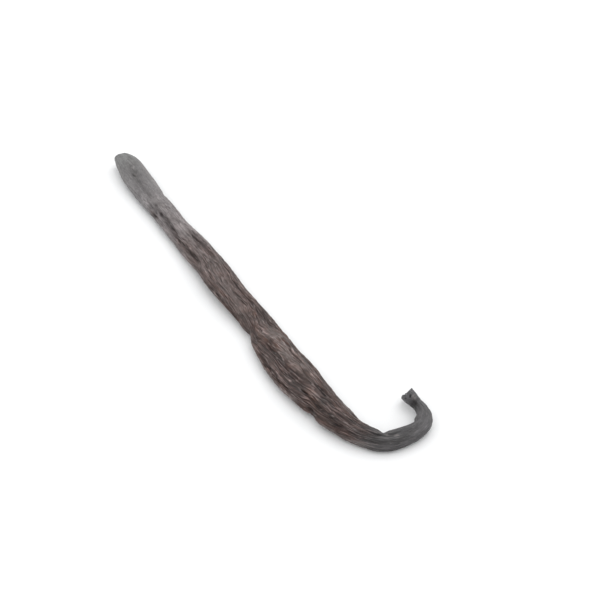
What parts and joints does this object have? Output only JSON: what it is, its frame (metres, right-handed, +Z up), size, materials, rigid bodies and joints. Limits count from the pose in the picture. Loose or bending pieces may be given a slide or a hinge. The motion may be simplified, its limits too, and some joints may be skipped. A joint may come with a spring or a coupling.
{
  "type": "vanilla pod",
  "caption": "Cured vanilla pod, whole: a long flattened wrinkled seed pod with a blunt tip and a narrow hooked stem end.",
  "frame": {"origin": "on the surface that the pod lies on, under the middle of its outline", "axes": "+X from the blossom tip towards the stem, +Y the side that the stem hooks to, +Z up"},
  "size_m": [0.1484, 0.0294, 0.0051],
  "materials": {
    "pod_skin": "oily near-black brown skin with fine lengthwise wrinkles and a soft grey sheen"
  },
  "bodies": {
    "root": {"vanilla_pod": "pod_skin"}
  },
  "joints": []
}
